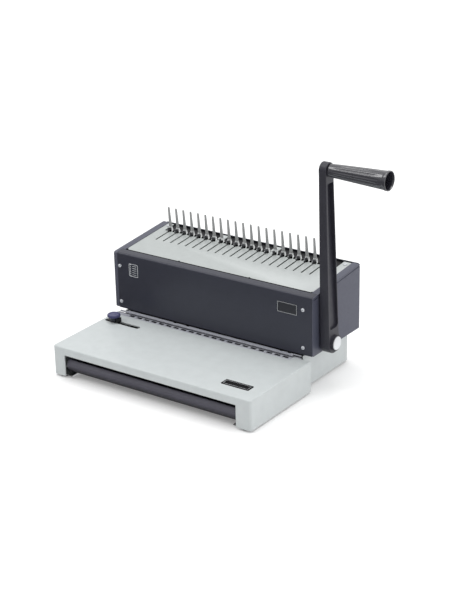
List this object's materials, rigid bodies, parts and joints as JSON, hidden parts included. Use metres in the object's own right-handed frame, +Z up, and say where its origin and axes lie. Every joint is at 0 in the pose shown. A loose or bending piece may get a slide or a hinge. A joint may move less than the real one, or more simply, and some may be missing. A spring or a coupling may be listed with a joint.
{
  "type": "comb binding machine",
  "caption": "Desktop comb punching and binding machine with a paper table, a side lever, a comb opener with bent-up fingers and a pull-out chip tray.",
  "frame": {"origin": "middle of the machine's bounding box in plan, on the surface that its feet stand on", "axes": "+Z up; -Y towards the user and the paper table; +X to the user's right, where the lever is"},
  "size_m": [0.4752, 0.2932, 0.3489],
  "materials": {
    "table_paint": "fine satin powder coat, light cool grey",
    "casing_paint": "fine satin powder coat, charcoal",
    "plate_paint": "satin paint, light grey",
    "strip_steel": "ground, slightly blue grey",
    "plated_steel": "zinc plated sheet and turned steel",
    "dark_steel": "blackened",
    "tray_plastic": "fine matt texture, dark grey",
    "handle_plastic": "fine matt texture, charcoal",
    "knob_plastic": "dark blue, semi gloss",
    "black_plastic": "matt black",
    "cap_plastic": "pale, semi gloss",
    "bush_brass": "plain turned",
    "foot_rubber": "matt"
  },
  "bodies": {
    "machine": {"base_table": "table_paint", "base_rear": "table_paint", "base_plate": "plated_steel", "foot_front_left": "foot_rubber", "foot_front_right": "foot_rubber", "foot_rear_left": "foot_rubber", "foot_rear_right": "foot_rubber", "name_plate": "black_plastic", "die_plate": "strip_steel", "stripper_plate": "strip_steel", "paper_stop": "plated_steel", "throat_spacer_left": "plated_steel", "throat_spacer_right": "plated_steel", "frame_left": "plated_steel", "frame_right": "plated_steel", "bush_left": "bush_brass", "bush_right": "bush_brass", "comb_plate": "plate_paint", "front_cover": "casing_paint", "rear_cover": "casing_paint", "left_cover": "casing_paint", "right_cover": "casing_paint", "front_screw_top_left": "plated_steel", "front_screw_bottom_left": "plated_steel", "front_screw_top_right": "plated_steel", "front_screw_bottom_right": "plated_steel", "rear_screw_top_left": "plated_steel", "rear_screw_bottom_left": "plated_steel", "rear_screw_top_right": "plated_steel", "rear_screw_bottom_right": "plated_steel", "plate_screw_left": "plated_steel", "plate_screw_mid_left": "plated_steel", "plate_screw_mid_right": "plated_steel", "plate_screw_right": "plated_steel"},
    "lever": {"handle_arm": "handle_plastic", "handle_grip": "handle_plastic", "grip_spindle": "plated_steel", "handle_nut": "plated_steel", "pivot_cap": "cap_plastic", "handle_washer": "black_plastic", "drive_shaft": "plated_steel", "shaft_clip": "dark_steel", "punch_pinion_left": "plated_steel", "punch_pinion_right": "plated_steel", "rake_sector_left": "plated_steel", "rake_sector_right": "plated_steel"},
    "punch": {"punch_comb": "plated_steel", "punch_rack_left": "plated_steel", "punch_rack_right": "plated_steel"},
    "rake": {"comb_rake": "dark_steel", "rake_leg_left": "dark_steel", "rake_leg_right": "dark_steel"},
    "tray": {"chip_tray": "tray_plastic"},
    "guide": {"edge_guide": "black_plastic", "edge_guide_nut": "plated_steel"},
    "knob": {"edge_guide_knob": "knob_plastic", "edge_guide_stud": "plated_steel"}
  },
  "joints": [
    {"name": "lever_turn", "type": "hinge", "parent": "machine", "child": "lever", "pos_m": [0.13655, 0.0442, 0.0715], "axis": [1, 0, 0], "range_deg": [0, 85]},
    {"name": "punch_slide", "type": "slide", "parent": "machine", "child": "punch", "axis": [0, 0, -1], "range_m": [0, 0.0122]},
    {"name": "rake_slide", "type": "slide", "parent": "machine", "child": "rake", "axis": [0, -0.9954, -0.0953], "range_m": [0, 0.0224]},
    {"name": "tray_slide", "type": "slide", "parent": "machine", "child": "tray", "axis": [0, -1, 0], "range_m": [0, 0.16]},
    {"name": "guide_slide", "type": "slide", "parent": "machine", "child": "guide", "axis": [1, 0, 0], "range_m": [-0.002, 0.041]},
    {"name": "knob_turn", "type": "hinge", "parent": "guide", "child": "knob", "pos_m": [-0.20825, -0.0286, 0.0506], "axis": [0, 0, 1], "range_deg": [0, 360]}
  ],
  "couplings": [
    {"joint": "punch_slide", "follows": "lever_turn", "m_per_rad": 0.008125},
    {"joint": "rake_slide", "follows": "lever_turn", "m_per_rad": 0.015}
  ]
}
